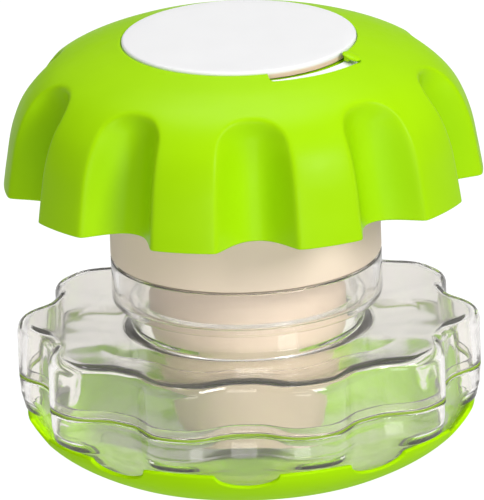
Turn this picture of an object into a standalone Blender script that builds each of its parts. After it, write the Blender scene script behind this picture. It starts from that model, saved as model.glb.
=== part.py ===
"""Wasp trap for a table: a fluted green roof over a cream entrance tube, which stands on a
clear fluted bowl in a green cup. A knob on the roof turns a shutter that closes the
entrance windows. The roof with its tube lifts off the bowl, and the bowl off its tray.

Units are metres, +Z is up, and the origin is the centre of the cup's flat bottom.
Azimuth is measured from -Y (the front) towards +X, so it grows anticlockwise from above.
"""

import math

import bmesh
import bpy
from mathutils import Matrix

# ---------------------------------------------------------------- driving dimensions
GAP = 0.0003  # between pieces that touch
FLUTES = 10
FLUTE_SEGMENTS = 60  # round the bowl's fluted pieces and the cup
ROUND_SEGMENTS = 40  # round a plain turned piece

# Green cup and clear tray
CUP_EDGE_Z = 0.0156
CUP_FOOT_RADIUS = 0.0532
CUP_FULL_RADIUS = 0.0744
CUP_FULL_Z = 0.022
CUP_CURVE = 2.3  # power of the curve from foot to full radius
CUP_WALL = 0.0016
NOTCH_HALF_WIDTH = 0.0107
NOTCH_DEPTH = 0.0053
TRAY_WALL = 0.0022
TONGUE_WALL = 0.001
TONGUE_HEIGHT = 0.0034

# Clear bowl
BOWL_PHASE = math.radians(-1.75)  # azimuth of a recess
SEAM_Z = 0.0273
SEAL_HEIGHT = 0.0006
BOWL_RADIUS = 0.0752
BOWL_FLUTE_DEPTH = 0.0074
BOWL_WALL = 0.0022
SHOULDER_Z = 0.046
SHOULDER_ROUND = 0.004
NECK_RADIUS = 0.0376
NECK_FOOT_Z = 0.043
COLLAR_RADIUS = 0.044
COLLAR_FOOT_Z = 0.0522
COLLAR_TOP_Z = 0.067

# Entrance tube, funnel and shutter
SEAL_GAP = 0.0002
COLLAR_SEAL_HEIGHT = 0.0004
TUBE_RADIUS = 0.044
TUBE_WALL = 0.002
TUBE_TOP_Z = 0.1316
FLANGE_RADIUS = 0.054
FLANGE_Z = 0.126
FLANGE_THICK = 0.002
WINDOWS = 4
WINDOW_WIDTH = 0.022
WINDOW_LOW_Z = 0.0865
WINDOW_HIGH_Z = 0.107
FUNNEL_RADIUS = 0.032
FUNNEL_END_RADIUS = 0.0235
FUNNEL_END_Z = 0.0105
FUNNEL_TAPER_Z = 0.044
FUNNEL_WALL = 0.0016
SHUTTER_PLATE = 0.0016
SHUTTER_SKIRT = 0.0017
DECK_RADII = (0.0402, 0.0458)  # the shutter's raised deck, seen through the slot
SHUTTER_LOW_Z = 0.080

# Roof dome
DOME_PHASE = math.radians(2.8)  # azimuth of a recess
ROOF_STEPS = (0.0, 5.8, 8.2, 10.6, 18.0, 25.4, 27.8, 30.2)  # degrees, close on the flanks
DOME_WALL = 0.002
RIM_Z = 0.09255
RIM_RECESS_RADIUS = 0.0658
RECESS_DRAFT = 0.19  # how fast a recess's floor leans in above the rim
RECESS_WIDTH = 0.544  # half a recess's width, where half a flute is 1
RECESS_SIDE = 2.3  # steepness of a recess's sides
RIDGE_ROUND = 0.12
ARCH_TOP = (0.0583, 0.132)  # radius and height
ARCH_SLOPE = math.radians(41.0)  # of the roof there
ARCH_RISE = 0.0128  # along the roof, from the arch's top to where the sides run straight
ARCH_REACH = 0.0235
SEAT_Z = 0.1372
SEAT_RADIUS = 0.0384
STUD_HOLE_RADIUS = 0.006
GROOVE_RADII = (0.0399, 0.0462)  # in the roof's underside, for the deck to run in
GROOVE_ROOF = 0.001  # thickness left over the groove
RETAINER_RADII = (0.031, 0.033)
RETAINER_Z = 0.1338
BOSS_RING_RADIUS = 0.050
BOSS_RADIUS = 0.0032
SCREW_AZIMUTHS = (90.0, 210.0, 330.0)
SCREW_RADIUS = 0.00135
SCREW_HEAD_RADIUS = 0.003

# Slot, knob and disc
SLOT_AZIMUTHS = (13.0, 61.0)
SLOT_INNER_RADIUS = 0.0365
SLOT_OUTER_RADII = (0.0428, 0.0448)  # the slot widens towards the knob
KNOB_AZIMUTH = math.radians(58.0)
KNOB_WIDTH = 0.0034
KNOB_STEM_RADII = (0.0404, 0.0424)
GRIP_RADII = (0.0390, 0.0458)
DISC_RADIUS = 0.038
DISC_THICK = 0.003
DISC_ROUND = 0.0012

# The roof's outer line over a lobe, from the seat to the rim: (radius, height).
ROOF_LINE = (
    (0.0390, 0.1396),
    (0.0505, 0.1362),
    (0.0617, 0.1308),
    (0.0697, 0.1226),
    (0.0742, 0.1125),
    (0.0765, 0.1007),
    (0.0778, RIM_Z),
)

LIME = (0.42, 0.85, 0.01, 1)
CREAM = (0.72, 0.66, 0.55, 1)
WHITE = (0.93, 0.93, 0.94, 1)
CLEAR = (0.90, 0.92, 0.89, 0.3)
SEAL_GREY = (0.30, 0.27, 0.22, 1)
STEEL = (0.62, 0.62, 0.63, 1)


# ---------------------------------------------------------------- helpers
def new_collection(name):
    collection = bpy.data.collections.new(name)
    bpy.context.scene.collection.children.link(collection)
    return collection


def new_material(name, color, roughness, metallic=0.0, transmission=0.0):
    material = bpy.data.materials.new(name)
    material.use_nodes = True
    shader = material.node_tree.nodes["Principled BSDF"]
    shader.inputs["Base Color"].default_value = color
    shader.inputs["Roughness"].default_value = roughness
    shader.inputs["Metallic"].default_value = metallic
    shader.inputs["Transmission Weight"].default_value = transmission
    material.diffuse_color = color
    return material


def polar(radius, azimuth, height):
    """A point from its distance to the axis, its azimuth from the front, and its height."""
    return (radius * math.sin(azimuth), -radius * math.cos(azimuth), height)


def add_object(name, mesh, collection, material=None):
    obj = bpy.data.objects.new(name, mesh)
    collection.objects.link(obj)
    if material:
        mesh.materials.append(material)
        mesh.shade_smooth()
        mesh.set_sharp_from_angle(angle=math.radians(35))
    return obj


def flute_share(azimuth, phase):
    """0 on a lobe's crown and 1 at the middle of a recess, with steep flanks between."""
    c = math.cos(FLUTES * (azimuth - phase))
    return 0.5 + 0.7 * c - 0.2 * c**3


def fluted_body(name, section, point_at, turns, collection, material):
    """A body of closed section carried round the axis at the azimuths in turns.
    point_at(station, azimuth) places a station of the section, and a station of radius 0
    closes the body on the axis."""
    bm = bmesh.new()
    rings = []
    for station in section:
        if station[0] == 0:
            rings.append([bm.verts.new((0, 0, station[1]))])
            continue
        rings.append([bm.verts.new(point_at(station, azimuth)) for azimuth in turns])
    loops = list(zip(rings, rings[1:] + rings[:1]))
    if len(rings[0]) == 1:
        loops.pop()
    for upper, lower in loops:
        for i in range(len(turns)):
            j = (i + 1) % len(turns)
            corners = [upper[i % len(upper)], lower[i % len(lower)]]
            corners += [lower[j % len(lower)], upper[j % len(upper)]]
            bm.faces.new(list(dict.fromkeys(corners)))
    bmesh.ops.recalc_face_normals(bm, faces=bm.faces)
    mesh = bpy.data.meshes.new(name)
    bm.to_mesh(mesh)
    bm.free()
    return add_object(name, mesh, collection, material)


def bowl_body(name, section, collection, material):
    """A body with the bowl's flutes. A station is (radius over a lobe, height, depth of the
    recess)."""
    def point_at(station, azimuth):
        radius, height, depth = station
        return polar(radius - depth * flute_share(azimuth, BOWL_PHASE), azimuth, height)

    step = 2 * math.pi / FLUTE_SEGMENTS
    turns = [BOWL_PHASE + i * step for i in range(FLUTE_SEGMENTS)]
    return fluted_body(name, section, point_at, turns, collection, material)


def turned(name, profile, collection, material, segments=ROUND_SEGMENTS, closed=True):
    """A profile of (radius, height), down the outer side first, turned about the axis."""
    bm = bmesh.new()
    points = [bm.verts.new((radius, 0, height)) for radius, height in profile]
    pairs = list(zip(points, points[1:] + points[:1]))
    for pair in pairs if closed else pairs[:-1]:
        bm.edges.new(pair)
    mesh = bpy.data.meshes.new(name)
    bm.to_mesh(mesh)
    bm.free()
    obj = add_object(name, mesh, collection, material)
    screw = obj.modifiers.new("turn", "SCREW")
    screw.steps = screw.render_steps = segments
    screw.use_merge_vertices = True
    screw.merge_threshold = 0.00001
    screw.use_smooth_shade = True
    return obj


def cutter_from(bm, name, collection):
    mesh = bpy.data.meshes.new(name)
    bm.to_mesh(mesh)
    bm.free()
    obj = add_object(name, mesh, collection)
    obj.hide_render = True
    obj.display_type = "WIRE"
    return obj


def boolean(obj, other, operation="DIFFERENCE"):
    modifier = obj.modifiers.new(other.name, "BOOLEAN")
    modifier.object = other
    modifier.operation = operation
    modifier.solver = "EXACT"


def arc(center, radius, start, end, steps):
    """Points (radius, height) along an arc of a section, with angles in degrees from +X."""
    angles = [math.radians(start + (end - start) * i / steps) for i in range(steps + 1)]
    return [
        (center[0] + radius * math.cos(a), center[1] + radius * math.sin(a)) for a in angles
    ]


# ---------------------------------------------------------------- cup and tray
def cup_radius(height):
    """The cup's outer radius, which swells from its foot to the bowl's full width."""
    share = max(0.0, 1 - height / CUP_FULL_Z)
    return CUP_FULL_RADIUS - (CUP_FULL_RADIUS - CUP_FOOT_RADIUS) * share**CUP_CURVE


def make_base_cup(parts, cutters, material):
    heights = [CUP_EDGE_Z * share for share in (1, 0.77, 0.52, 0.28, 0.1, 0)]
    outer = [(cup_radius(z), z) for z in heights]
    floor = CUP_WALL
    inner = [(cup_radius(z) - CUP_WALL, z) for z in heights[:-2]]
    inner.append((cup_radius(floor) - 1.6 * CUP_WALL, floor))
    profile = [(0, floor), *inner[::-1], *outer, (0, 0)]
    cup = turned("base_cup", profile, parts, material, FLUTE_SEGMENTS, closed=False)

    bm = bmesh.new()
    for i in range(FLUTES):
        azimuth = BOWL_PHASE + 2 * math.pi * i / FLUTES
        made = bmesh.ops.create_cone(
            bm, cap_ends=True, segments=20, radius1=NOTCH_HALF_WIDTH,
            radius2=NOTCH_HALF_WIDTH, depth=0.03,
        )
        for vert in made["verts"]:
            across, along = vert.co.x, vert.co.z
            rise = vert.co.y * NOTCH_DEPTH / NOTCH_HALF_WIDTH
            x, y, z = polar(CUP_FULL_RADIUS + along, azimuth, CUP_EDGE_Z + rise)
            vert.co = (x + across * math.cos(azimuth), y + across * math.sin(azimuth), z)
    boolean(cup, cutter_from(bm, "notch_cutter", cutters))
    return cup


def make_lower_tray(parts, material):
    clearance = CUP_WALL + GAP

    def station(radius, height, wall=0.0):
        radius -= wall
        recess = BOWL_RADIUS - BOWL_FLUTE_DEPTH - wall
        return (radius, height, max(0.0, radius - recess))

    rim_z = SEAM_Z - GAP
    ledge_z = CUP_EDGE_Z + GAP
    free = [(BOWL_RADIUS, rim_z), (0.0747, 0.0215), (cup_radius(ledge_z) + 0.0002, ledge_z)]
    nested = [(cup_radius(z) - clearance, z) for z in (ledge_z, 0.0122, 0.0085, 0.0052)]
    outer = [station(r, z) for r, z in free + nested]
    outer += [(0.0565, 0.0031, 0), (0.049, CUP_WALL + GAP, 0)]
    bottom_z = CUP_WALL + GAP
    inner_low = [(0.0478, bottom_z + TRAY_WALL, 0), (0.0548, 0.0052, 0)]
    inner = [(cup_radius(z) - clearance, z) for z in (0.0066, 0.0100, 0.0135)]
    inner += [(0.0745, 0.0215)]
    inner = inner_low + [station(r, z, TRAY_WALL) for r, z in inner]
    step = BOWL_WALL + GAP
    tongue_top = SEAM_Z + TONGUE_HEIGHT
    tongue = [
        (BOWL_RADIUS - step - TONGUE_WALL, 0.0247, BOWL_FLUTE_DEPTH),
        (BOWL_RADIUS - step - TONGUE_WALL, tongue_top, BOWL_FLUTE_DEPTH),
        (BOWL_RADIUS - step, tongue_top, BOWL_FLUTE_DEPTH),
        (BOWL_RADIUS - step, rim_z, BOWL_FLUTE_DEPTH),
    ]
    section = [(0, bottom_z), *outer[::-1], *tongue[::-1], *inner[::-1]]
    section.append((0, bottom_z + TRAY_WALL))
    return bowl_body("lower_tray", section, parts, material)


def make_seam_seal(parts, material):
    low, high = SEAM_Z, SEAM_Z + SEAL_HEIGHT
    outer, inner = BOWL_RADIUS - 0.0001, BOWL_RADIUS - BOWL_WALL
    depth = BOWL_FLUTE_DEPTH
    section = [(outer, high), (outer, low), (inner, low), (inner, high)]
    stations = [(radius, height, depth) for radius, height in section]
    return bowl_body("seam_seal", stations, parts, material)


# ---------------------------------------------------------------- bowl
def make_upper_bowl(parts, material):
    depth, wall = BOWL_FLUTE_DEPTH, BOWL_WALL
    foot_z = SEAM_Z + SEAL_HEIGHT + GAP
    shoulder = (BOWL_RADIUS - SHOULDER_ROUND, SHOULDER_Z - SHOULDER_ROUND)
    outer = [(BOWL_RADIUS, foot_z, depth)]
    outer += [(*p, depth) for p in arc(shoulder, SHOULDER_ROUND, 0, 90, 3)]
    outer += [(0.0555, SHOULDER_Z - 0.0012, 0.4 * depth), (0.0405, NECK_FOOT_Z, 0)]
    outer += [(NECK_RADIUS, NECK_FOOT_Z + 0.002, 0), (NECK_RADIUS, COLLAR_FOOT_Z, 0)]
    outer += [(COLLAR_RADIUS - 0.0015, COLLAR_FOOT_Z, 0)]
    outer += [(COLLAR_RADIUS, COLLAR_FOOT_Z + 0.0015, 0), (COLLAR_RADIUS, COLLAR_TOP_Z, 0)]
    inner = [(BOWL_RADIUS - wall, foot_z, depth)]
    inner += [(*p, depth) for p in arc(shoulder, SHOULDER_ROUND - wall, 0, 90, 2)]
    inner += [(0.0550, SHOULDER_Z - 0.0012 - wall, 0.4 * depth)]
    inner += [(0.0395, NECK_FOOT_Z - wall, 0), (NECK_RADIUS - wall, NECK_FOOT_Z, 0)]
    inner += [(NECK_RADIUS - wall, COLLAR_FOOT_Z + wall, 0)]
    inner += [(COLLAR_RADIUS - wall, COLLAR_FOOT_Z + wall, 0)]
    inner += [(COLLAR_RADIUS - wall, COLLAR_TOP_Z, 0)]
    return bowl_body("upper_bowl", outer + inner[::-1], parts, material)


# ---------------------------------------------------------------- entrance
def window_cutter(name, cutters, radius, low_z, high_z, width):
    bm = bmesh.new()
    size = Matrix.Diagonal((width, 0.016, high_z - low_z, 1))
    place = Matrix.Translation((0, -radius, (low_z + high_z) / 2))
    for i in range(WINDOWS):
        turn = Matrix.Rotation(2 * math.pi * i / WINDOWS, 4, "Z")
        bmesh.ops.create_cube(bm, size=1, matrix=turn @ place @ size)
    return cutter_from(bm, name, cutters)


def roof_height(radius):
    """Height of the roof's outside near the disc, where it is a plain cone."""
    (r1, z1), (r2, z2) = ROOF_LINE[:2]
    return z1 + (z2 - z1) * (radius - r1) / (r2 - r1)


def deck_top(radius):
    return roof_height(radius) - GROOVE_ROOF - GAP


def make_entrance(parts, cutters, cream, white, seal):
    seal_low = COLLAR_TOP_Z + SEAL_GAP
    seal_high = seal_low + COLLAR_SEAL_HEIGHT
    tube_low = seal_high + SEAL_GAP
    seal_outer = COLLAR_RADIUS - 0.0006
    profile = [(seal_outer, seal_high), (seal_outer, seal_low)]
    profile += [(0.0414, seal_low), (0.0414, seal_high)]
    turned("collar_seal", profile, parts, seal)

    inside = TUBE_RADIUS - TUBE_WALL
    flange_top = FLANGE_Z + FLANGE_THICK
    profile = [(TUBE_RADIUS, TUBE_TOP_Z), (TUBE_RADIUS, flange_top)]
    profile += [(FLANGE_RADIUS, flange_top), (FLANGE_RADIUS, FLANGE_Z)]
    profile += [(TUBE_RADIUS, FLANGE_Z), (TUBE_RADIUS, tube_low)]
    profile += [(inside, tube_low), (inside, TUBE_TOP_Z)]
    tube = turned("entrance_tube", profile, parts, cream)
    boolean(tube, window_cutter(
        "window_cutter", cutters, TUBE_RADIUS, WINDOW_LOW_Z, WINDOW_HIGH_Z, WINDOW_WIDTH,
    ))
    bm = bmesh.new()
    for degrees in SCREW_AZIMUTHS:
        made = bmesh.ops.create_cone(
            bm, cap_ends=True, segments=16, radius1=SCREW_RADIUS + GAP,
            radius2=SCREW_RADIUS + GAP, depth=0.006,
        )
        x, y, z = polar(BOSS_RING_RADIUS, math.radians(degrees), FLANGE_Z)
        bmesh.ops.translate(bm, verts=made["verts"], vec=(x, y, z))
    boolean(tube, cutter_from(bm, "flange_hole_cutter", cutters))

    top_z = tube_low + 0.002
    reach = inside - GAP
    wall = FUNNEL_WALL
    profile = [(reach, top_z), (reach, top_z - wall), (FUNNEL_RADIUS, top_z - wall)]
    profile += [(FUNNEL_RADIUS, FUNNEL_TAPER_Z), (FUNNEL_END_RADIUS, FUNNEL_END_Z)]
    profile += [(FUNNEL_END_RADIUS - wall, FUNNEL_END_Z)]
    profile += [(FUNNEL_RADIUS - wall, FUNNEL_TAPER_Z), (FUNNEL_RADIUS - wall, top_z - wall)]
    profile += [(FUNNEL_RADIUS + 0.003, top_z)]
    turned("funnel", profile, parts, cream)

    plate_low = TUBE_TOP_Z + GAP
    plate_high = plate_low + SHUTTER_PLATE
    skirt = inside - GAP
    deck_in, deck_out = DECK_RADII
    profile = [(0, plate_high), (deck_in, plate_high), (deck_in, deck_top(deck_in))]
    profile += [(deck_out, deck_top(deck_out)), (deck_out, plate_low)]
    profile += [(skirt, plate_low), (skirt, SHUTTER_LOW_Z)]
    profile += [(skirt - SHUTTER_SKIRT, SHUTTER_LOW_Z), (skirt - SHUTTER_SKIRT, plate_low)]
    profile += [(0, plate_low)]
    shutter = turned("shutter", profile, parts, white, closed=False)
    boolean(shutter, window_cutter(
        "shutter_window_cutter", cutters, TUBE_RADIUS - 0.002, WINDOW_LOW_Z - 0.002,
        WINDOW_HIGH_Z + 0.002, WINDOW_WIDTH + 0.001,
    ))


# ---------------------------------------------------------------- roof
def roof_line(share):
    """A point on the roof's outer line: a smooth curve through ROOF_LINE."""
    place = share * (len(ROOF_LINE) - 1)
    i = min(int(place), len(ROOF_LINE) - 2)
    t = place - i
    p1, p2 = ROOF_LINE[i], ROOF_LINE[i + 1]
    p0 = ROOF_LINE[i - 1] if i else p1
    p3 = ROOF_LINE[min(i + 2, len(ROOF_LINE) - 1)]
    return tuple(
        0.5 * (2 * b + (c - a) * t + (2 * a - 5 * b + 4 * c - d) * t * t
               + (3 * b - a - 3 * c + d) * t**3)
        for a, b, c, d in zip(p0, p1, p2, p3)
    )


def roof_point(station, azimuth):
    """A station is (radius over a lobe, height, inset of the recess's floor). The recesses
    cut in with steep sides, and their tops close in a round arch."""
    radius, height, inset = station
    floor = RIM_RECESS_RADIUS - RECESS_DRAFT * (height - RIM_Z) - inset
    away = abs((FLUTES * (azimuth - DOME_PHASE) / math.pi + 1) % 2 - 1)
    down = (radius - ARCH_TOP[0]) * math.cos(ARCH_SLOPE)
    down += (ARCH_TOP[1] - height) * math.sin(ARCH_SLOPE)
    over = max(0.0, (ARCH_RISE - down) / ARCH_REACH)
    inside = 1 - (math.hypot(away, over) / RECESS_WIDTH) ** RECESS_SIDE
    share = (inside + math.hypot(inside, RIDGE_ROUND)) / 2
    return polar(radius - max(0.0, radius - floor) * share, azimuth, height)


def make_roof(parts, cutters, material):
    rows = 10
    outer = [roof_line(i / rows) for i in range(rows + 1)]
    inner = []
    for i in range(2, rows + 1):  # the first row would break into the groove
        before, after = roof_line((i - 0.5) / rows), roof_line(min(rows, i + 0.5) / rows)
        along = math.hypot(after[0] - before[0], after[1] - before[1])
        inward = (after[1] - before[1], before[0] - after[0])
        inner.append(tuple(
            p + DOME_WALL * n / along for p, n in zip(outer[i], inward)
        ))
    inner[-1] = (inner[-1][0], RIM_Z)
    ceiling = SEAT_Z - DOME_WALL
    seat = [(STUD_HOLE_RADIUS, ceiling), (STUD_HOLE_RADIUS, SEAT_Z)]
    seat += [(SEAT_RADIUS, SEAT_Z), (SEAT_RADIUS, ROOF_LINE[0][1])]
    groove_in, groove_out = GROOVE_RADII
    groove = [(groove_out, ceiling), (groove_out, roof_height(groove_out) - GROOVE_ROOF)]
    groove += [(groove_in, roof_height(groove_in) - GROOVE_ROOF), (groove_in, ceiling)]
    low, high = RETAINER_RADII
    rib = [(high, ceiling), (high, RETAINER_Z), (low, RETAINER_Z), (low, ceiling)]
    section = [(*point, 0) for point in seat + outer]
    section += [(*point, DOME_WALL) for point in inner[::-1] + groove + rib]
    pitch = 360 / FLUTES
    turns = [
        DOME_PHASE + math.radians(flute * pitch + step)
        for flute in range(FLUTES) for step in ROOF_STEPS
    ]
    roof = fluted_body("roof_dome", section, roof_point, turns, parts, material)

    bm = bmesh.new()
    for degrees in SCREW_AZIMUTHS:
        made = bmesh.ops.create_cone(
            bm, cap_ends=True, segments=16, radius1=BOSS_RADIUS, radius2=BOSS_RADIUS,
            depth=0.0062,
        )
        foot = FLANGE_Z + FLANGE_THICK + GAP
        x, y, z = polar(BOSS_RING_RADIUS, math.radians(degrees), foot + 0.0031)
        bmesh.ops.translate(bm, verts=made["verts"], vec=(x, y, z))
    boolean(roof, cutter_from(bm, "screw_bosses", cutters), "UNION")

    bm = bmesh.new()
    for degrees in SCREW_AZIMUTHS:
        made = bmesh.ops.create_cone(
            bm, cap_ends=True, segments=16, radius1=SCREW_RADIUS + GAP,
            radius2=SCREW_RADIUS + GAP, depth=0.011,
        )
        x, y, z = polar(BOSS_RING_RADIUS, math.radians(degrees), FLANGE_Z + 0.0025)
        bmesh.ops.translate(bm, verts=made["verts"], vec=(x, y, z))
    boolean(roof, cutter_from(bm, "boss_hole_cutter", cutters))

    bm = bmesh.new()
    steps = 12
    rings = []
    for i in range(steps + 1):
        share = i / steps
        azimuth = math.radians(
            SLOT_AZIMUTHS[0] + share * (SLOT_AZIMUTHS[1] - SLOT_AZIMUTHS[0])
        )
        reach = SLOT_OUTER_RADII[0] + share * (SLOT_OUTER_RADII[1] - SLOT_OUTER_RADII[0])
        corners = [(SLOT_INNER_RADIUS, 0.134), (reach, 0.134)]
        corners += [(reach, 0.142), (SLOT_INNER_RADIUS, 0.142)]
        rings.append([bm.verts.new(polar(r, azimuth, z)) for r, z in corners])
    for first, second in zip(rings, rings[1:]):
        for k in range(4):
            n = (k + 1) % 4
            bm.faces.new((first[k], first[n], second[n], second[k]))
    bm.faces.new(rings[0])
    bm.faces.new(rings[-1][::-1])
    bmesh.ops.recalc_face_normals(bm, faces=bm.faces)
    boolean(roof, cutter_from(bm, "slot_cutter", cutters))
    return roof


def make_screws(parts, material):
    """Pan-head screws, up through the tube's flange into the roof's bosses."""
    head_z = FLANGE_Z - GAP
    tip_z = FLANGE_Z + 0.0072
    profile = [(0, tip_z), (0.0007, tip_z), (SCREW_RADIUS, tip_z - 0.0012)]
    profile += [(SCREW_RADIUS, head_z), (SCREW_HEAD_RADIUS, head_z)]
    profile += [(SCREW_HEAD_RADIUS, head_z - 0.0012), (0.002, head_z - 0.002)]
    profile += [(0, head_z - 0.002)]
    for number, degrees in enumerate(SCREW_AZIMUTHS, 1):
        screw = turned(
            f"dome_screw_{number}", profile, parts, material, segments=16, closed=False
        )
        x, y, _ = polar(BOSS_RING_RADIUS, math.radians(degrees), 0)
        screw.location = (x, y, 0)


# ---------------------------------------------------------------- disc and knob
def make_top_disc(parts, material):
    top = SEAT_Z + GAP + DISC_THICK
    low = SEAT_Z + GAP
    rounded = arc((DISC_RADIUS - DISC_ROUND, top - DISC_ROUND), DISC_ROUND, 90, 0, 3)
    stud = STUD_HOLE_RADIUS - GAP
    foot = RETAINER_Z + 0.0004
    profile = [(0, top), *rounded, (DISC_RADIUS, low), (stud, low), (stud, foot), (0, foot)]
    return turned("top_disc", profile, parts, material, closed=False)


def make_knob(parts, material):
    """A stem through the slot with a rounded grip that follows the roof's slope."""
    inner, outer = KNOB_STEM_RADII
    grip_in, grip_out = GRIP_RADII
    lift = 0.0004
    grip = 0.0014
    outline = [(inner, deck_top(inner) + GAP), (outer, deck_top(outer) + GAP)]
    outline += [(outer, roof_height(outer) + lift), (grip_out, roof_height(grip_out) + lift)]
    outline += [(grip_out, roof_height(grip_out) + lift + 0.55 * grip)]
    outline += [(grip_out - 0.0012, roof_height(grip_out - 0.0012) + lift + grip)]
    outline += [(grip_in, roof_height(grip_in) + lift + grip)]
    outline += [(grip_in, roof_height(grip_in) + lift), (inner, roof_height(inner) + lift)]
    bm = bmesh.new()
    flat = [bm.verts.new((radius, -KNOB_WIDTH / 2, z)) for radius, z in outline]
    face = bm.faces.new(flat)
    made = bmesh.ops.extrude_face_region(bm, geom=[face])["geom"]
    moved = [g for g in made if isinstance(g, bmesh.types.BMVert)]
    bmesh.ops.translate(bm, verts=moved, vec=(0, KNOB_WIDTH, 0))
    bmesh.ops.recalc_face_normals(bm, faces=bm.faces)
    turn = Matrix.Rotation(KNOB_AZIMUTH - math.pi / 2, 3, "Z")
    bmesh.ops.rotate(bm, verts=bm.verts, cent=(0, 0, 0), matrix=turn)
    mesh = bpy.data.meshes.new("shutter_knob")
    bm.to_mesh(mesh)
    bm.free()
    knob = add_object("shutter_knob", mesh, parts, material)
    bevel = knob.modifiers.new("rounded edges", "BEVEL")
    bevel.width = 0.0004
    bevel.segments = 2
    bevel.limit_method = "ANGLE"
    return knob


def main():
    for obj in list(bpy.data.objects):
        bpy.data.objects.remove(obj)
    parts = new_collection("wasp_trap")
    cutters = new_collection("cutters")
    lime = new_material("lime_plastic", LIME, 0.45)
    cream = new_material("cream_plastic", CREAM, 0.5)
    white = new_material("white_plastic", WHITE, 0.5)
    clear = new_material("clear_plastic", CLEAR, 0.05, transmission=1.0)
    seal = new_material("seal_rubber", SEAL_GREY, 0.7)
    lime_seal = new_material("lime_rubber", LIME, 0.6)
    steel = new_material("screw_steel", STEEL, 0.35, metallic=1.0)

    make_base_cup(parts, cutters, lime)
    make_lower_tray(parts, clear)
    make_seam_seal(parts, lime_seal)
    make_upper_bowl(parts, clear)
    make_entrance(parts, cutters, cream, white, seal)
    make_roof(parts, cutters, lime)
    make_screws(parts, steel)
    make_top_disc(parts, white)
    make_knob(parts, lime)


main()
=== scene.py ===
"""Visual model of the wasp trap on its CAD frame: a fluted lime roof over a cream entrance
tube, on a clear fluted bowl standing in a lime cup. Metres, +Z up; azimuth is measured from
-Y, the front, towards +X. The heights and radii of the pieces come from the CAD boxes."""
import math

import bmesh
import bpy
import numpy as np
from mathutils import Matrix, Vector


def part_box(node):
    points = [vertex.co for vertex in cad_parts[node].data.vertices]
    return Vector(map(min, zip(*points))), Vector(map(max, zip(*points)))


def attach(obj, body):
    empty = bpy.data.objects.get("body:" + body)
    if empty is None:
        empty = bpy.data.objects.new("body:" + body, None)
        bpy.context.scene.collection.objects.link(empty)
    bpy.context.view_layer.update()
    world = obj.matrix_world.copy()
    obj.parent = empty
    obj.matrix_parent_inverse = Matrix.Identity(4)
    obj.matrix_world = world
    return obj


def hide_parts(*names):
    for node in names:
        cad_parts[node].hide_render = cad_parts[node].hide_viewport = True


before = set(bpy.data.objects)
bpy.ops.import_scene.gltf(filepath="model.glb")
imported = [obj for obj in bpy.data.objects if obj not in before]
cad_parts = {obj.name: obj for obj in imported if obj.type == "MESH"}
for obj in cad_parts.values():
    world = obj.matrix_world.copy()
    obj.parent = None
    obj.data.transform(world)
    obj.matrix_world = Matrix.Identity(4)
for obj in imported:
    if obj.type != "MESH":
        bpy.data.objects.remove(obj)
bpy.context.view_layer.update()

BOX = {name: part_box(name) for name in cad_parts}
FLUTES = 10
GAP = 0.0003  # the clearance that the CAD leaves between neighbours
SCREW_CIRCLE = 0.050
SCREW_AZIMUTHS = (90, 210, 330)


def low(node):
    return BOX[node][0].z


def high(node):
    return BOX[node][1].z


def reach(node):
    """The widest half-width of a node."""
    lo, hi = BOX[node]
    return max(-lo.x, hi.x, -lo.y, hi.y)


# ------------------------------------------------------------------ section and mesh helpers
def polar(radius, azimuth, height):
    return (radius * np.sin(azimuth), -radius * np.cos(azimuth), height + 0 * azimuth)


def rounded(points, radii, steps=5, closed=True):
    """A section with each corner turned into a circular arc of its radius."""
    points = [np.array(p, float) for p in points]
    out = []
    for i, p in enumerate(points):
        radius = radii[i]
        if radius == 0 or (not closed and i in (0, len(points) - 1)):
            out.append(p)
            continue
        u, v = points[i - 1] - p, points[(i + 1) % len(points)] - p
        lu, lv = np.linalg.norm(u), np.linalg.norm(v)
        u, v = u / lu, v / lv
        half = math.acos(max(-1.0, min(1.0, float(u @ v)))) / 2
        back = min(radius / math.tan(half), 0.49 * lu, 0.49 * lv)
        weight = math.sin(half)
        for k in range(steps + 1):
            t = k / steps
            a, b, c = (1 - t) ** 2, 2 * t * (1 - t) * weight, t * t
            out.append((a * (p + u * back) + b * p + c * (p + v * back)) / (a + b + c))
    return out


def divided(points, longest, closed=True):
    """The same section with its long sides cut into equal steps."""
    out = []
    count = len(points)
    for i in range(count if closed else count - 1):
        a, b = np.array(points[i], float), np.array(points[(i + 1) % count], float)
        steps = max(1, math.ceil(np.linalg.norm(b - a) / longest))
        out += [a + (b - a) * k / steps for k in range(steps)]
    if not closed:
        out.append(np.array(points[-1], float))
    return out


def curve_through(points, share):
    """A point at share, 0 to 1, along a smooth curve through the points."""
    place = share * (len(points) - 1)
    i = min(int(place), len(points) - 2)
    t = place - i
    p1, p2 = np.array(points[i], float), np.array(points[i + 1], float)
    p0 = np.array(points[i - 1], float) if i else p1
    p3 = np.array(points[min(i + 2, len(points) - 1)], float)
    return 0.5 * (
        2 * p1 + (p2 - p0) * t + (2 * p0 - 5 * p1 + 4 * p2 - p3) * t * t
        + (3 * p1 - p0 - 3 * p2 + p3) * t**3
    )


def link(obj):
    bpy.context.scene.collection.objects.link(obj)
    return obj


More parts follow.
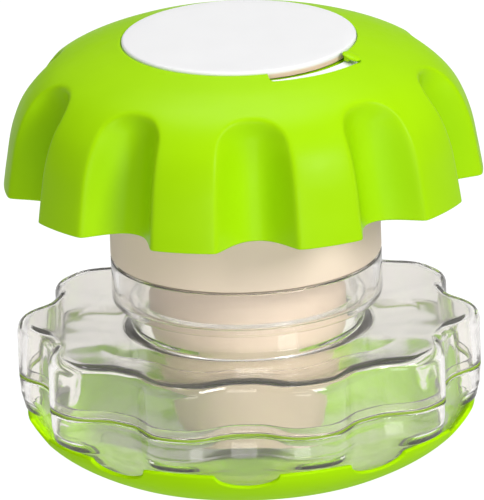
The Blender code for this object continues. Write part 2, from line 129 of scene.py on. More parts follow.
def rings_to_mesh(name, rings, closed):
    """Faces between rings of points; a ring of one point closes the body on the axis."""
    points, starts = [], []
    for ring in rings:
        starts.append(len(points))
        points.extend(ring)
    count = max(len(ring) for ring in rings)
    faces = []
    pairs = list(zip(range(len(rings)), list(range(1, len(rings))) + [0]))
    for first, second in pairs if closed else pairs[:-1]:
        if len(rings[first]) == 1 and len(rings[second]) == 1:
            continue
        a, b = starts[first], starts[second]
        for i in range(count):
            j = (i + 1) % count
            if len(rings[first]) == 1:
                faces.append((a, b + i, b + j))
            elif len(rings[second]) == 1:
                faces.append((a + i, b, a + j))
            else:
                faces.append((a + i, b + i, b + j, a + j))
    mesh = bpy.data.meshes.new(name)
    mesh.from_pydata([tuple(p) for p in points], [], faces)
    bm = bmesh.new()
    bm.from_mesh(mesh)
    bmesh.ops.recalc_face_normals(bm, faces=bm.faces)
    bm.to_mesh(mesh)
    bm.free()
    return mesh


def smooth(obj, angle=38):
    obj.data.shade_smooth()
    obj.data.set_sharp_from_angle(angle=math.radians(angle))
    return obj


def around(name, section, point_at, turns, closed=True):
    """A body of one section carried round the axis at the azimuths in turns."""
    rings = []
    for station in section:
        if abs(station[0]) < 1e-9:
            rings.append([(0, 0, station[1])])
        else:
            rings.append(np.stack(point_at(station, turns), axis=1).tolist())
    return smooth(link(bpy.data.objects.new(name, rings_to_mesh(name, rings, closed))))


def even_turns(per_flute, phase=0.0):
    return phase + 2 * np.pi * np.arange(per_flute * FLUTES) / (per_flute * FLUTES)


def turned(name, section, per_flute=16, closed=True):
    def point_at(station, turns):
        return polar(station[0], turns, station[1])
    return around(name, section, point_at, even_turns(per_flute), closed)


def cutter(mesh_maker):
    bm = bmesh.new()
    mesh_maker(bm)
    mesh = bpy.data.meshes.new("cutter")
    bm.to_mesh(mesh)
    bm.free()
    return link(bpy.data.objects.new("cutter", mesh))


def pins(radius, middle, depth, segments):
    """Upright cylinders on the screws' circle, to join or to cut."""
    def build(bm):
        for degrees in SCREW_AZIMUTHS:
            bmesh.ops.create_cone(
                bm, cap_ends=True, segments=segments, radius1=radius, radius2=radius,
                depth=depth,
                matrix=Matrix.Translation(polar(SCREW_CIRCLE, math.radians(degrees), middle)),
            )
    return cutter(build)


def boolean(obj, other, operation="DIFFERENCE"):
    """Cuts or joins now, so that no cutter is left in the scene."""
    modifier = obj.modifiers.new("cut", "BOOLEAN")
    modifier.object, modifier.operation, modifier.solver = other, operation, "EXACT"
    graph = bpy.context.evaluated_depsgraph_get()
    mesh = bpy.data.meshes.new_from_object(obj.evaluated_get(graph))
    obj.modifiers.clear()
    old = obj.data
    obj.data = mesh
    mesh.name = obj.name
    bpy.data.meshes.remove(old)
    bpy.data.objects.remove(other)
    return smooth(obj)


def place(obj, body, slot_name, material, *nodes):
    obj.data.materials.clear()
    obj.data.materials.append(material)
    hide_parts(*nodes)
    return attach(obj, body)


# ------------------------------------------------------------------ materials
def nodes_of(name):
    material = bpy.data.materials.new(name)
    material.use_nodes = True
    tree = material.node_tree
    return material, tree, tree.nodes["Principled BSDF"]


def noise(tree, scale, detail=3.0, roughness=0.5):
    where = tree.nodes.new("ShaderNodeTexCoord")
    texture = tree.nodes.new("ShaderNodeTexNoise")
    texture.inputs["Scale"].default_value = scale
    texture.inputs["Detail"].default_value = detail
    texture.inputs["Roughness"].default_value = roughness
    tree.links.new(where.outputs["Object"], texture.inputs["Vector"])
    return texture.outputs["Fac"]


def ranged(tree, value, low_value, high_value, start=0.3, end=0.7):
    node = tree.nodes.new("ShaderNodeMapRange")
    node.inputs["From Min"].default_value = start
    node.inputs["From Max"].default_value = end
    node.inputs["To Min"].default_value = low_value
    node.inputs["To Max"].default_value = high_value
    tree.links.new(value, node.inputs["Value"])
    return node.outputs["Result"]


def bump(tree, shader, height, distance, strength=1.0):
    node = tree.nodes.new("ShaderNodeBump")
    node.inputs["Distance"].default_value = distance
    node.inputs["Strength"].default_value = strength
    tree.links.new(height, node.inputs["Height"])
    tree.links.new(node.outputs["Normal"], shader.inputs["Normal"])


def mixed(tree, factor, first, second):
    node = tree.nodes.new("ShaderNodeMix")
    node.data_type = "RGBA"
    node.inputs["A"].default_value = (*first, 1)
    node.inputs["B"].default_value = (*second, 1)
    tree.links.new(factor, node.inputs["Factor"])
    return node.outputs["Result"]


def moulded(name, first, second, roughness, grain, depth, specular=0.5):
    """Moulded plastic: colour that drifts slightly, uneven satin and a fine spark grain."""
    material, tree, shader = nodes_of(name)
    drift = ranged(tree, noise(tree, 38.0, 2.0), 0.0, 1.0)
    tree.links.new(mixed(tree, drift, first, second), shader.inputs["Base Color"])
    patches = noise(tree, 160.0, 4.0, 0.6)
    tree.links.new(
        ranged(tree, patches, roughness[0], roughness[1]), shader.inputs["Roughness"]
    )
    bump(tree, shader, noise(tree, grain, 2.0), depth)
    shader.inputs["Specular IOR Level"].default_value = specular
    return material


def painted_warm_shade_below(material, colour, start, end):
    """Paints a warm shade on a plastic below the height start, which fades out by end."""
    tree = material.node_tree
    shader = tree.nodes["Principled BSDF"]
    plain = shader.inputs["Base Color"].links[0].from_socket
    where = tree.nodes.new("ShaderNodeTexCoord")
    axes = tree.nodes.new("ShaderNodeSeparateXYZ")
    tree.links.new(where.outputs["Object"], axes.inputs["Vector"])
    blend = tree.nodes.new("ShaderNodeMix")
    blend.data_type = "RGBA"
    blend.inputs["A"].default_value = (*colour, 1)
    tree.links.new(plain, blend.inputs["B"])
    tree.links.new(ranged(tree, axes.outputs["Z"], 0.0, 1.0, start, end), blend.inputs["Factor"])
    tree.links.new(blend.outputs["Result"], shader.inputs["Base Color"])


def clear_plastic(name, tint, roughness, ior):
    """Clear moulded plastic, a little hazy, with faint flow marks on its surface. Lamps shine
    straight through it."""
    material, tree, shader = nodes_of(name)
    shader.inputs["Base Color"].default_value = (*tint, 1)
    shader.inputs["Transmission Weight"].default_value = 0.965
    shader.inputs["IOR"].default_value = ior
    tree.links.new(
        ranged(tree, noise(tree, 90.0, 3.0), roughness[0], roughness[1]),
        shader.inputs["Roughness"],
    )
    bump(tree, shader, noise(tree, 55.0, 1.0), 0.00025, 0.3)
    lamps = tree.nodes.new("ShaderNodeLightPath")
    through = tree.nodes.new("ShaderNodeBsdfTransparent")
    through.inputs["Color"].default_value = (0.95, 0.94, 0.925, 1)
    mix = tree.nodes.new("ShaderNodeMixShader")
    tree.links.new(lamps.outputs["Is Shadow Ray"], mix.inputs["Fac"])
    tree.links.new(shader.outputs["BSDF"], mix.inputs[1])
    tree.links.new(through.outputs["BSDF"], mix.inputs[2])
    tree.links.new(mix.outputs["Shader"], tree.nodes["Material Output"].inputs["Surface"])
    return material


def steel_of(name):
    """Bright steel with fine wear."""
    material, tree, shader = nodes_of(name)
    shader.inputs["Base Color"].default_value = (0.58, 0.58, 0.6, 1)
    shader.inputs["Metallic"].default_value = 1.0
    tree.links.new(
        ranged(tree, noise(tree, 900.0, 4.0), 0.22, 0.42), shader.inputs["Roughness"]
    )
    bump(tree, shader, noise(tree, 2500.0, 2.0), 0.00001)
    return material


lime = moulded(
    "lime_plastic", (0.37, 0.71, 0.001), (0.39, 0.74, 0.002), (0.33, 0.42), 1900.0, 0.000012,
    specular=0.09,
)
lime_cup = moulded(
    "lime_cup_plastic", (0.42, 0.82, 0.001), (0.44, 0.85, 0.002), (0.38, 0.48), 1900.0,
    0.000012, specular=0.015,
)
lime_soft = moulded(
    "lime_rubber", (0.26, 0.42, 0.02), (0.30, 0.47, 0.03), (0.5, 0.6), 2400.0, 0.00001,
)
cream = moulded(
    "cream_plastic", (0.91, 0.755, 0.60), (0.93, 0.775, 0.62), (0.42, 0.52), 2100.0, 0.00001,
)
# Painted shade: the funnel's cream is a darker copy of the tube's, standing in for the shade
# inside the clear bowl.
cream_painted_shade = moulded(
    "cream_inner_plastic", (0.54, 0.445, 0.35), (0.56, 0.465, 0.37), (0.45, 0.55), 2100.0,
    0.00001,
)
white = moulded(
    "white_plastic", (0.92, 0.92, 0.925), (0.94, 0.94, 0.945), (0.45, 0.55), 2300.0, 0.000008,
)
# Painted shade: the disc is a darker copy of the white plastic, to hold back the strong light on
# its top.
white_disc_painted_shade = moulded(
    "white_disc_plastic", (0.87, 0.87, 0.875), (0.89, 0.89, 0.895), (0.45, 0.55), 2300.0,
    0.000008,
)
# Painted shade: the disc's side, inside the seat, is tinted warm where it lies in the shade of
# the disc's rim.
painted_warm_shade_below(white_disc_painted_shade, (0.80, 0.60, 0.45), 0.1388, 0.1395)  # its side, inside the seat
# The collar seal's grey-brown is partly its own rubber colour and partly painted shade: it
# stands in for the shadow gap at the collar's top.
rubber = moulded(
    "seal_rubber", (0.40, 0.34, 0.27), (0.45, 0.39, 0.31), (0.55, 0.7), 2600.0, 0.00001,
)
clear = clear_plastic("clear_plastic", (0.94, 0.92, 0.895), (0.04, 0.09), 1.47)
steel = steel_of("screw_steel")

# ------------------------------------------------------------------ bowl, tray and cup
BOWL_PHASE = math.radians(-1.75)
BOWL_RADIUS = 0.0752
FLUTE_DEPTH = 0.0074
WALL = 0.0022
SHOULDER = 0.0041  # the radius of the shoulder's outer edge
NECK = 0.0376
COLLAR = reach("collar_seal") + 0.0006


def flute_share(turns, phase):
    """0 on a lobe's crown and 1 at the middle of a recess, with steep flanks between."""
    c = np.cos(FLUTES * (turns - phase))
    return 0.5 + 0.7 * c - 0.2 * c**3


def bowl_point(station, turns):
    """A station is (radius over a lobe, height, depth of the recess)."""
    radius = station[0] - station[2] * flute_share(turns, BOWL_PHASE)
    return polar(radius, turns, station[1])


def make_bowl():
    """Each station is (radius over a lobe, height, depth of the recess, corner radius)."""
    foot, top = low("upper_bowl"), high("upper_bowl")
    shoulder = 0.046
    dip = shoulder - 0.0028  # the shoulder dips towards the neck
    collar_foot = top - 0.0148
    faded = 0.42 * FLUTE_DEPTH
    thick = 0.0030  # the wall at a lobe, which is thicker than at a recess
    outer = [
        (BOWL_RADIUS, foot, FLUTE_DEPTH, 0.0004),
        (BOWL_RADIUS, shoulder, FLUTE_DEPTH, SHOULDER),
        (0.0560, shoulder - 0.0010, faded, 0.02),
        (0.0405, dip, 0, 0.003),
        (NECK, shoulder - 0.0010, 0, 0.001),
        (NECK, collar_foot, 0, 0.0008),
        (COLLAR, collar_foot, 0, 0.0018),
        (COLLAR, top, 0, 0.0004),
    ]
    inner = [
        (COLLAR - WALL, top, 0, 0.0004),
        (COLLAR - WALL, collar_foot + WALL, 0, 0.0006),
        (NECK - WALL, collar_foot + WALL, 0, 0.0006),
        (NECK - WALL, dip - WALL, 0, 0.0006),
        (0.0400, dip - WALL, 0, 0.003),
        (0.0555, shoulder - 0.0012 - WALL, faded, 0.02),
        (BOWL_RADIUS - thick, shoulder - WALL, FLUTE_DEPTH - thick + WALL, 0.0016),
        (BOWL_RADIUS - WALL, high("lower_tray") + GAP, FLUTE_DEPTH, 0.002),
        (BOWL_RADIUS - WALL, foot, FLUTE_DEPTH, 0.0004),
    ]
    stations = outer + inner
    section = rounded([s[:3] for s in stations], [s[3] for s in stations], 7)
    section = divided(section, 0.0022)
    return around("bowl_shell", section, bowl_point, even_turns(36, BOWL_PHASE))


CUP_FOOT, CUP_FULL, CUP_FULL_Z, CUP_CURVE, CUP_WALL = 0.0532, 0.0744, 0.022, 2.3, 0.0016
CUP_EDGE = high("base_cup")


def cup_radius(height):
    """The cup's outer radius, which swells from its foot to the bowl's full width."""
    share = np.maximum(0.0, 1 - np.asarray(height) / CUP_FULL_Z)
    return CUP_FULL - (CUP_FULL - CUP_FOOT) * share**CUP_CURVE


def make_tray():
    """The tray follows the cup's inside up to its ledge on the cup's edge, then the bowl's
    wall up to the seam, with a thin tongue that stands up inside the bowl."""
    rim = low("seam_seal") - GAP
    step, tongue_thick = WALL + GAP, 0.001
    top = high("lower_tray")
    recess = BOWL_RADIUS - FLUTE_DEPTH

    fade = 0.0012

    def flute(radius, wall=0.0):
        """The recess fades out where the wall turns under."""
        over = (radius - recess + wall) / fade
        return fade * math.log1p(math.exp(min(over, 50.0)))

    clearance = CUP_WALL + GAP
    outer = [(BOWL_RADIUS, rim, FLUTE_DEPTH), (0.0749, 0.0245, FLUTE_DEPTH)]
    ledge = CUP_EDGE + GAP
    outer += [(0.0747, 0.0215, 0.0070), (float(cup_radius(ledge)), ledge, 0.0056)]
    for height in (ledge, 0.0138, 0.0122, 0.0103, 0.0085, 0.0068, 0.0052):
        radius = float(cup_radius(height)) - clearance
        outer.append((radius, height, min(FLUTE_DEPTH, flute(radius))))
    outer += [(0.0565, 0.0031, 0), (0.049, clearance, 0), (0, clearance, 0)]
    floor = clearance + WALL
    inner = [(0, floor, 0), (0.0478, floor, 0), (0.0548, 0.0052, 0)]
    for height in (0.0066, 0.0082, 0.0100, 0.0118, 0.0135):
        radius = float(cup_radius(height)) - clearance - WALL
        inner.append((radius, height, min(FLUTE_DEPTH, flute(radius, WALL))))
    inner += [(0.0745 - WALL, 0.0195, 0.0070)]
    inner += [(BOWL_RADIUS - step - tongue_thick, 0.0247, FLUTE_DEPTH)]
    tongue = [
        (BOWL_RADIUS - step - tongue_thick, top, FLUTE_DEPTH),
        (BOWL_RADIUS - step, top, FLUTE_DEPTH),
        (BOWL_RADIUS - step, rim, FLUTE_DEPTH),
    ]
    corners = [0.0004, 0, 0.002, 0.0016, 0.0014]
    stations = outer + inner + tongue
    radii = corners + [0.003] * (len(outer) - len(corners) - 1) + [0]
    radii += [0] + [0.003] * (len(inner) - 1) + [0.0004, 0.0004, 0.0003]
    section = divided(rounded(stations, radii, 5), 0.002)
    section = [(0.0, s[1], 0.0) if s[0] < 1e-9 else s for s in section]
    # Both ends of an open section are on the axis, so it starts at the floor's underside.
    start = max(i for i, s in enumerate(section) if s[0] == 0.0)
    section = section[start:] + section[:start]
    end = max(i for i, s in enumerate(section) if s[0] == 0.0 and i > 2)
    section = section[: end + 1]
    return around("tray_shell", section, bowl_point, even_turns(36, BOWL_PHASE), False)


def make_seam_seal():
    bottom, top = low("seam_seal"), high("seam_seal")
    outer, inner = BOWL_RADIUS - 0.0001, BOWL_RADIUS - WALL
    corners = [(outer, top), (outer, bottom), (inner, bottom), (inner, top)]
    stations = [(radius, height, FLUTE_DEPTH) for radius, height in corners]
    section = rounded(stations, [0.00025, 0.00025, 0.0001, 0.0001], 4)
    return around("seam_gasket", section, bowl_point, even_turns(36, BOWL_PHASE))


def notch_path(columns):
    """Azimuths and heights of the cup's edge over one flute, evenly spaced along the edge,
    with the corners of the half-round notch eased."""
    half_width, depth, ease = 0.0107, 0.0047, 0.0007
    edge_radius = float(cup_radius(CUP_EDGE))
    half_period = math.pi / FLUTES * edge_radius
    phi = np.linspace(-np.pi / 2, np.pi / 2, 200)
    across = np.concatenate([[-half_period], half_width * np.sin(phi), [half_period]])
    drop = np.concatenate([[0.0], -depth * np.cos(phi), [0.0]])

    def evenly(across, drop, count):
        along = np.concatenate([[0], np.cumsum(np.hypot(np.diff(across), np.diff(drop)))])
        where = np.linspace(0, along[-1], count + 1)
        return np.interp(where, along, across), np.interp(where, along, drop), along[-1]

    a, d, length = evenly(across, drop, 600)
    width = max(1, int(ease / length * 600))
    kernel = np.hanning(2 * width + 3)[1:-1]
    kernel /= kernel.sum()
    pad = len(kernel) // 2
    a = np.concatenate([a[-pad - 1:-1] - 2 * half_period, a, a[1:pad + 1] + 2 * half_period])
    d = np.concatenate([d[-pad - 1:-1], d, d[1:pad + 1]])
    a, d = np.convolve(a, kernel, "valid"), np.convolve(d, kernel, "valid")
    a, d, _ = evenly(a, d, columns)
    return a[:-1] / edge_radius, d[:-1]


def make_cup():
    """Rings from the middle of the foot, out and up to the rounded edge, and back inside."""
    turns, drop = notch_path(64)
    turns = np.concatenate([BOWL_PHASE + turns + 2 * np.pi * k / FLUTES for k in range(FLUTES)])
    edge = CUP_EDGE + np.tile(drop, FLUTES)
    half = CUP_WALL / 2
    body_top = edge - half
    flat = (0.02, 0.04, 0.0505)
    outer_foot, inner_foot = 0.0008, 0.0026
    rings = [[(0, 0, 0)]]
    for radius in flat:
        rings.append(polar(radius, turns, 0))
    for k in range(4):
        a = math.radians(90 * k / 4)
        rings.append(polar(0.0513 + 0.00114 * math.sin(a), turns, 0.0006 * (1 - math.cos(a))))
    for k in range(25):
        share = (k / 24) ** 1.25
        height = outer_foot + (body_top - outer_foot) * share
        rings.append(polar(cup_radius(height), turns, height))
    for k in range(1, 8):
        a = math.pi * k / 8
        middle = cup_radius(body_top) - half
        rings.append(polar(middle + half * math.cos(a), turns, body_top + half * math.sin(a)))
    for k in range(18):
        share = 1 - (k / 17) ** 0.9
        height = inner_foot + (body_top - inner_foot) * share
        rings.append(polar(cup_radius(height) - CUP_WALL, turns, height))
    rings.append(polar(cup_radius(CUP_WALL) - 0.0026, turns, 0.0018))
    for radius in flat[::-1]:
        rings.append(polar(radius, turns, CUP_WALL))
    rings.append([(0, 0, CUP_WALL)])
    listed = [r if isinstance(r, list) else np.stack(r, axis=1).tolist() for r in rings]
    mesh = rings_to_mesh("cup_shell", listed, False)
    return smooth(link(bpy.data.objects.new("cup_shell", mesh)))


# ------------------------------------------------------------------ tube, funnel, shutter
WINDOWS = 4
FLANGE_LOW, FLANGE_TOP = 0.126, 0.128


def window_cutter(radius, bottom, top, width, corner):
    """Four boxes with rounded upright corners, one through each side."""
    def build(bm):
        for i in range(WINDOWS):
            made = bmesh.ops.create_cube(bm, size=1)
            scale = Matrix.Diagonal((width, 0.016, top - bottom, 1))
            bmesh.ops.transform(bm, matrix=scale, verts=made["verts"])
            edges = {e for v in made["verts"] for e in v.link_edges}
            along = [e for e in edges if abs(e.verts[0].co.y - e.verts[1].co.y) > 0.01]
            bevelled = bmesh.ops.bevel(
                bm, geom=along, offset=corner, segments=8, profile=0.5, affect="EDGES"
            )
            verts = set(bevelled["verts"]) | {v for v in made["verts"] if v.is_valid}
            turn = Matrix.Rotation(2 * math.pi * i / WINDOWS, 4, "Z")
            move = Matrix.Translation((0, -radius, (top + bottom) / 2))
            bmesh.ops.transform(bm, matrix=turn @ move, verts=list(verts))
    return cutter(build)


def make_tube():
    """The entrance tube, with the flange that the roof is screwed to."""
    bottom, top = low("entrance_tube"), high("entrance_tube")
    radius, wall, flange = 0.044, 0.002, reach("entrance_tube")
    section = [
        (radius, top, 0.0004), (radius, FLANGE_TOP, 0.0005),
        (flange, FLANGE_TOP, 0.0006), (flange, FLANGE_LOW, 0.0006),
        (radius, FLANGE_LOW, 0.0008), (radius, bottom, 0.0005),
        (radius - wall, bottom, 0.0004), (radius - wall, top, 0.0004),
    ]
    section = divided(rounded([s[:2] for s in section], [s[2] for s in section], 4), 0.004)
    tube = turned("entrance_tube_body", section, 24)
    boolean(tube, window_cutter(radius, 0.0865, 0.107, 0.022, 0.002))
    return boolean(tube, pins(0.0017, 0.127, 0.006, 40))


def make_funnel():
    """A tube with a flange at its top, which narrows to its open lower end."""
    bottom, top = low("funnel"), high("funnel")
    flange, wall = reach("funnel"), 0.0016
    radius, end, narrows = 0.032, 0.0235, 0.044
    section = [
        (flange, top, 0.0004), (flange, top - wall, 0.0004), (radius, top - wall, 0.001),
        (radius, narrows, 0.02), (end, bottom, 0.0006), (end - wall, bottom, 0.0006),
        (radius - wall, narrows, 0.02), (radius - wall, top - wall, 0.001),
        (radius + 0.003, top, 0.001),
    ]
    section = divided(rounded([s[:2] for s in section], [s[2] for s in section], 6), 0.004)
    return turned("funnel_body", section, 20)


def roof_height(radius):
    """The height of the roof's flat slope, between its seat and its round."""
    (r1, z1), (r2, z2) = ROOF_LINE[:2]
    return z1 + (z2 - z1) * (radius - r1) / (r2 - r1)


def deck_top(radius):
    """The top of the shutter's raised ring, which follows the roof's slope under it."""
    return roof_height(radius) - 0.0013


def make_shutter():
    """A plate with a raised ring on top, and a skirt with windows that hangs in the tube."""
    bottom = low("shutter")
    plate_low, plate_high = 0.1319, 0.1335
    skirt, skirt_wall = 0.0417, 0.0017
    deck_in, deck_out = 0.0402, reach("shutter")
    section = [
        (0, plate_high, 0), (deck_in, plate_high, 0.0004), (deck_in, deck_top(deck_in), 0.0003),
        (deck_out, deck_top(deck_out), 0.0005), (deck_out, plate_low, 0.0004),
        (skirt, plate_low, 0.0003), (skirt, bottom, 0.0004),
        (skirt - skirt_wall, bottom, 0.0004), (skirt - skirt_wall, plate_low, 0.0006),
        (0, plate_low, 0),
    ]
    section = rounded([s[:2] for s in section], [s[2] for s in section], 4, closed=False)
    section = divided(section, 0.005, closed=False)
    shutter = turned("shutter_body", section, 24, closed=False)
    return boolean(shutter, window_cutter(0.042, 0.0845, 0.109, 0.023, 0.0025))


def make_collar_seal():
    bottom, top = low("collar_seal"), high("collar_seal")
    outer, inner = reach("collar_seal"), 0.0414
    corners = [(outer, top), (outer, bottom), (inner, bottom), (inner, top)]
    return turned("collar_gasket", rounded(corners, [0.00015] * 4, 3), 24)


# ------------------------------------------------------------------ roof
DOME_PHASE = math.radians(2.8)
RIM = low("roof_dome")
RIM_RECESS = 0.0658
ARCH_TOP = (0.0583, 0.132)
ARCH_SLOPE = math.radians(41.0)
ARCH_START, ARCH_REACH = 0.0128, 0.0235
RECESS_DRAFT, RECESS_WIDTH, RECESS_SIDE, RIDGE_ROUND = 0.19, 0.544, 2.3, 0.12
SEAT, SEAT_RADIUS = 0.1372, 0.0382
STUD_HOLE = 0.006
ROOF_WALL = 0.002
ROOF_LINE = (
    (0.0390, 0.1396), (0.0505, 0.1362), (0.0617, 0.1308), (0.0697, 0.1226),
    (0.0742, 0.1125), (0.0765, 0.1007), (0.07775, RIM),
)


def roof_point(station, turns):
    """A station is (radius over a lobe, height, inset of the recess's floor). The recesses
    have steep sides and a rounded ridge round them, and close in a round arch at the top."""
    radius, height, inset = station
    floor = RIM_RECESS - RECESS_DRAFT * (height - RIM) - inset
    away = np.abs((FLUTES * (turns - DOME_PHASE) / np.pi + 1) % 2 - 1)
    down = (radius - ARCH_TOP[0]) * math.cos(ARCH_SLOPE)
    down += (ARCH_TOP[1] - height) * math.sin(ARCH_SLOPE)
    over = max(0.0, (ARCH_START - down) / ARCH_REACH)
    inside = 1 - (np.hypot(away, over) / RECESS_WIDTH) ** RECESS_SIDE
    share = (inside + np.hypot(inside, RIDGE_ROUND)) / 2
    return polar(radius - max(0.0, radius - floor) * share, turns, height)


def slot_cutter():
    """A curved block that widens towards the knob, with its upper edge flared to ease the
    slot's edge."""
    start, end = math.radians(13.0), math.radians(61.0)
    inner, bottom, top_cut = 0.0381, 0.134, 0.142
    ease, corner = 0.0005, 0.0012

    def build(bm):
        rings = []
        steps = 64
        for i in range(steps + 1):
            share = i / steps
            azimuth = start + share * (end - start)
            outer = 0.0428 + share * 0.0020
            along = min(share, 1 - share) * (end - start) * outer
            if along < corner:
                outer -= corner - math.sqrt(corner**2 - (corner - along) ** 2)
            top = roof_height(outer)
            profile = [(inner, bottom), (outer, bottom)]
            for k in range(5):
                a = math.radians(80 * k / 4)
                flare = outer + ease * (1 - math.cos(a))
                profile.append((flare, top - ease + ease * math.sin(a)))
            profile += [(outer + ease, top_cut), (inner, top_cut)]
            rings.append([bm.verts.new(polar(r, azimuth, z)) for r, z in profile])
        for first, second in zip(rings, rings[1:]):
            for k in range(len(first)):
                n = (k + 1) % len(first)
                bm.faces.new((first[k], first[n], second[n], second[k]))
        bm.faces.new(rings[0])
        bm.faces.new(rings[-1][::-1])
        bmesh.ops.recalc_face_normals(bm, faces=bm.faces)
    return cutter(build)


def make_roof():
    """The section runs from the disc's seat over the dome to the rim, and back under it past
    the shutter's groove and a round rib that guides the shutter's plate."""
    rows = 100
    outer = [curve_through(ROOF_LINE, i / rows) for i in range(rows + 1)]
    inner = []
    for i in range(8, rows + 1, 2):
        before = curve_through(ROOF_LINE, (i - 0.5) / rows)
        after = curve_through(ROOF_LINE, min(rows, i + 0.5) / rows)
        along = np.linalg.norm(after - before)
        inward = np.array((after[1] - before[1], before[0] - after[0])) / along
        inner.append(outer[i] + ROOF_WALL * inward)
    ceiling = SEAT - ROOF_WALL
    groove_in, groove_out = 0.0399, 0.0462
    inner = [p for p in inner if p[1] > RIM + 0.0004 and p[0] > groove_out + 0.0002]
    outer = [p for p in outer[1:] if p[1] > RIM + 0.0009]
    rim = rounded(
        [outer[-1], (ROOF_LINE[-1][0], RIM), (ROOF_LINE[-1][0] - ROOF_WALL, RIM), inner[-1]],
        [0, 0.0007, 0.0006, 0], 5, closed=False,
    )[1:-1]
    seat = rounded(
        [(STUD_HOLE, ceiling), (STUD_HOLE, SEAT), (SEAT_RADIUS, SEAT),
         (SEAT_RADIUS, ROOF_LINE[0][1] + 0.0001), outer[0]],
        [0, 0.0003, 0.0003, 0.0005, 0], 4, closed=False,
    )
    groove_wall = 0.001
    rib_in, rib_out, rib_foot = 0.031, 0.033, 0.1338
    under = [
        (groove_out, ceiling, 0.0003),
        (groove_out, roof_height(groove_out) - groove_wall, 0.0003),
        (groove_in, roof_height(groove_in) - groove_wall, 0.0003),
        (groove_in, ceiling, 0.0003),
        (rib_out, ceiling, 0.0004), (rib_out, rib_foot, 0.0004),
        (rib_in, rib_foot, 0.0004), (rib_in, ceiling, 0.0004),
    ]
    under = rounded(
        [inner[0]] + [u[:2] for u in under] + [(STUD_HOLE, ceiling)],
        [0] + [u[2] for u in under] + [0], 3, closed=False,
    )[1:-1]
    rim = [(*p, ROOF_WALL * k / (len(rim) - 1)) for k, p in enumerate(rim)]
    section = [(*p, 0) for p in seat[:-1] + outer] + rim
    section += [(*p, ROOF_WALL) for p in inner[::-1] + under]
    roof = around("roof_shell", section, roof_point, even_turns(72, DOME_PHASE))

    boss_foot, boss_height = FLANGE_TOP + GAP, 0.0062
    boolean(roof, pins(0.0032, boss_foot + boss_height / 2, boss_height, 48), "UNION")
    boolean(roof, pins(0.00165, 0.1285, 0.011, 32))
    return boolean(roof, slot_cutter())


def make_disc():
    """A plate with a stud under it, which plugs the hole in the roof's seat."""
    top = high("top_disc")
    radius = reach("top_disc")
    under, foot = SEAT + GAP, low("top_disc")
    stud = 0.0057
    section = [
        (0, top, 0), (radius, top, 0.0009), (radius, under, 0.0004), (stud, under, 0.0003),
        (stud, foot, 0.0004), (0, foot, 0),
    ]
    section = rounded([s[:2] for s in section], [s[2] for s in section], 6, closed=False)
    return turned("disc_plate", divided(section, 0.005, closed=False), 24, closed=False)


def make_knob():
    """A stem through the slot with a rounded grip that follows the roof's slope."""
    stem_in, stem_out, half = 0.0404, 0.0424, 0.0016
    grip_in, grip_out = 0.0392, 0.0456
    lift = 0.0002
    azimuth = math.radians(58.0)
    slope = math.atan2(roof_height(grip_in) - roof_height(grip_out), grip_out - grip_in)
    grip_half = (high("shutter_knob") - roof_height(grip_in) - lift) / 2
    middle = (roof_height(grip_in) + roof_height(grip_out)) / 2 + lift + grip_half

    def stem(bm):
        foot = deck_top(stem_in) + GAP
        bmesh.ops.create_cube(
            bm, size=1, matrix=Matrix.Rotation(azimuth - math.pi / 2, 4, "Z")
            @ Matrix.Translation(((stem_in + stem_out) / 2, 0, (foot + middle) / 2))
            @ Matrix.Diagonal((stem_out - stem_in, 2 * half, middle - foot, 1)),
        )
        bmesh.ops.bevel(
            bm, geom=bm.edges[:], offset=0.0003, segments=3, profile=0.5, affect="EDGES",
        )

    bm = bmesh.new()
    bmesh.ops.create_uvsphere(bm, u_segments=48, v_segments=28, radius=1.0)
    for vert in bm.verts:
        vert.co = Vector([math.copysign(abs(c) ** 0.85, c) for c in vert.co])
    place_at = (
        Matrix.Rotation(azimuth - math.pi / 2, 4, "Z")
        @ Matrix.Translation(((grip_in + grip_out) / 2, 0, middle))
        @ Matrix.Rotation(slope, 4, "Y")
        @ Matrix.Diagonal(((grip_out - grip_in) / 2, 0.0022, grip_half, 1))
    )
    bmesh.ops.transform(bm, matrix=place_at, verts=bm.verts)
    mesh = bpy.data.meshes.new("knob_body")
    bm.to_mesh(mesh)
    bm.free()
    knob = link(bpy.data.objects.new("knob_body", mesh))
    return smooth(boolean(knob, cutter(stem), "UNION"), 50)


def make_screw(node):
    """A pan-head screw with a cross recess, point up."""
    lo, hi = BOX[node]
    middle = (lo + hi) / 2
    head, shank = (hi.x - lo.x) / 2, 0.00135
    head_top = FLANGE_LOW - GAP
    thread_turns, thread_depth = 12, 0.0002
    section = [
        (0, hi.z, 0), (0.0006, hi.z, 0.0002), (shank, hi.z - 0.0014, 0.0003),
        (shank, head_top, 0.0002), (head, head_top, 0.0003), (head, head_top - 0.0011, 0.0008),
        (0.0017, lo.z, 0.0012), (0, lo.z, 0),
    ]
    section = rounded([s[:2] for s in section], [s[2] for s in section], 4, closed=False)
    thread = []
    for a, b in zip(section, section[1:]):
        thread.append(a)
        if abs(a[0] - shank) < 1e-6 and abs(b[0] - shank) < 1e-6 and abs(a[1] - b[1]) > 0.002:
            for k in range(1, 2 * thread_turns):
                share = k / (2 * thread_turns)
                radius = shank - (thread_depth if k % 2 else 0.0)
                thread.append(np.array((radius, a[1] + (b[1] - a[1]) * share)))
    thread.append(section[-1])
    screw = turned(node + "_body", thread, 5, closed=False)
    screw.location = (middle.x, middle.y, 0)
    bpy.context.view_layer.update()

    move = Matrix.Translation((middle.x, middle.y, lo.z))
    for size in ((0.0028, 0.0006, 0.0016), (0.0006, 0.0028, 0.0016)):
        shape = move @ Matrix.Diagonal((*size, 1))
        boolean(screw, cutter(lambda bm: bmesh.ops.create_cube(bm, size=1, matrix=shape)))
    return screw


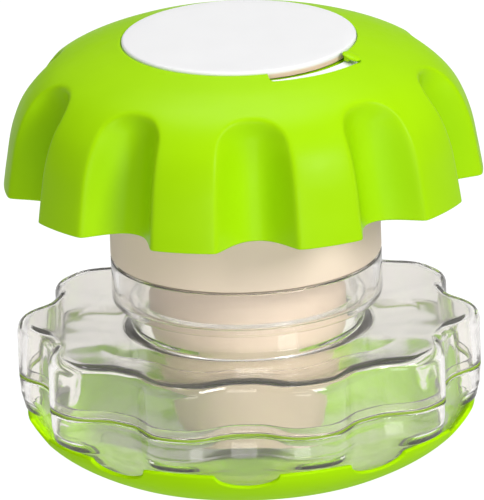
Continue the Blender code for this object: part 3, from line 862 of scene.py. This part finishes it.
place(make_cup(), "base", "lime_plastic", lime_cup, "base_cup")
place(make_tray(), "base", "clear_plastic", clear, "lower_tray")
place(make_seam_seal(), "base", "lime_rubber", lime_soft, "seam_seal")
place(make_bowl(), "bowl", "clear_plastic", clear, "upper_bowl")
place(make_collar_seal(), "bowl", "seal_rubber", rubber, "collar_seal")
place(make_tube(), "head", "cream_plastic", cream, "entrance_tube")
place(make_funnel(), "head", "cream_plastic", cream_painted_shade, "funnel")
place(make_roof(), "head", "lime_plastic", lime, "roof_dome")
place(make_disc(), "head", "white_plastic", white_disc_painted_shade, "top_disc")
for screw_node in ("dome_screw_1", "dome_screw_2", "dome_screw_3"):
    place(make_screw(screw_node), "head", "screw_steel", steel, screw_node)
place(make_shutter(), "rotor", "white_plastic", white, "shutter")
place(make_knob(), "rotor", "lime_plastic", lime, "shutter_knob")

# ------------------------------------------------------------------ floor, light and camera
def seen_or_lit(tree, seen, lit):
    """One strength as the camera and the clear plastic see it, and one as it lights."""
    path = tree.nodes.new("ShaderNodeLightPath")
    either = tree.nodes.new("ShaderNodeMath")
    either.operation = "MAXIMUM"
    tree.links.new(path.outputs["Is Camera Ray"], either.inputs[0])
    tree.links.new(path.outputs["Is Transmission Ray"], either.inputs[1])
    return ranged(tree, either.outputs["Value"], lit, seen, 0.0, 1.0)


floor_mesh = bpy.data.meshes.new("floor")
floor_mesh.from_pydata([(-4, -4, 0), (4, -4, 0), (4, 4, 0), (-4, 4, 0)], [], [(0, 1, 2, 3)])
floor = link(bpy.data.objects.new("floor", floor_mesh))
floor.location.z = -0.0002  # clear of the cup's foot, so that the two never flicker
material, tree, shader = nodes_of("floor_white")
shader.inputs["Roughness"].default_value = 0.9
shader.inputs["Specular IOR Level"].default_value = 0.0
shader.inputs["Base Color"].default_value = (0.1, 0.1, 0.1, 1)
shader.inputs["Emission Color"].default_value = (1, 1, 1, 1)
tree.links.new(seen_or_lit(tree, 1.0, 0.55), shader.inputs["Emission Strength"])
floor.data.materials.append(material)


def softbox(name, location, target_height, size, watts):
    """A rectangular light that faces the trap's axis at a height."""
    data = bpy.data.lights.new(name, "AREA")
    data.shape = "RECTANGLE"
    data.size, data.size_y = size
    data.energy = watts
    obj = link(bpy.data.objects.new(name, data))
    obj.location = location
    facing = Vector((0, 0, target_height)) - Vector(location)
    obj.rotation_euler = facing.to_track_quat("-Z", "Y").to_euler()


softbox("key_box", (0.8, -0.95, 0.8), 0.09, (0.45, 0.45), 11.0)
softbox("top_box", (0.0, 0.2, 1.1), 0.09, (0.7, 0.6), 7.0)
softbox("front_box", (0.1, -1.3, 0.14), 0.08, (0.9, 0.4), 5.3)
softbox("left_box", (-0.95, -0.45, 0.7), 0.08, (0.4, 0.8), 0.8)

world = bpy.data.worlds.new("studio")
bpy.context.scene.world = world
world.use_nodes = True
sky = world.node_tree.nodes["Background"]
sky.inputs["Color"].default_value = (1, 1, 1, 1)
world.node_tree.links.new(seen_or_lit(world.node_tree, 0.95, 0.17), sky.inputs["Strength"])

scene = bpy.context.scene
scene.view_settings.view_transform = "Standard"
# Light crosses many walls of the clear plastic, which go dark with fewer bounces.
scene.cycles.max_bounces = 32
scene.cycles.transmission_bounces = 32

ELEVATION = math.radians(19.0)
DISTANCE = 4.5  # far off, as the photograph's perspective is weak
SPAN = 0.157  # the width of the view at the trap
SENSOR = 36.0
camera_data = bpy.data.cameras.new("camera")
camera_data.sensor_fit = "HORIZONTAL"
camera_data.sensor_width = SENSOR
camera_data.lens = SENSOR * DISTANCE / SPAN
camera_data.clip_start, camera_data.clip_end = 0.5, 20.0
camera = link(bpy.data.objects.new("camera", camera_data))
target = Vector((-0.00131, 0.0, 0.06735))
back = Vector((0, -math.cos(ELEVATION), math.sin(ELEVATION)))
camera.location = target + DISTANCE * back
look = (-back).to_track_quat("-Z", "Y").to_matrix().to_4x4()
roll = Matrix.Rotation(math.radians(-1.97), 4, "Z")
camera.rotation_euler = (look @ roll).to_euler()
scene.camera = camera
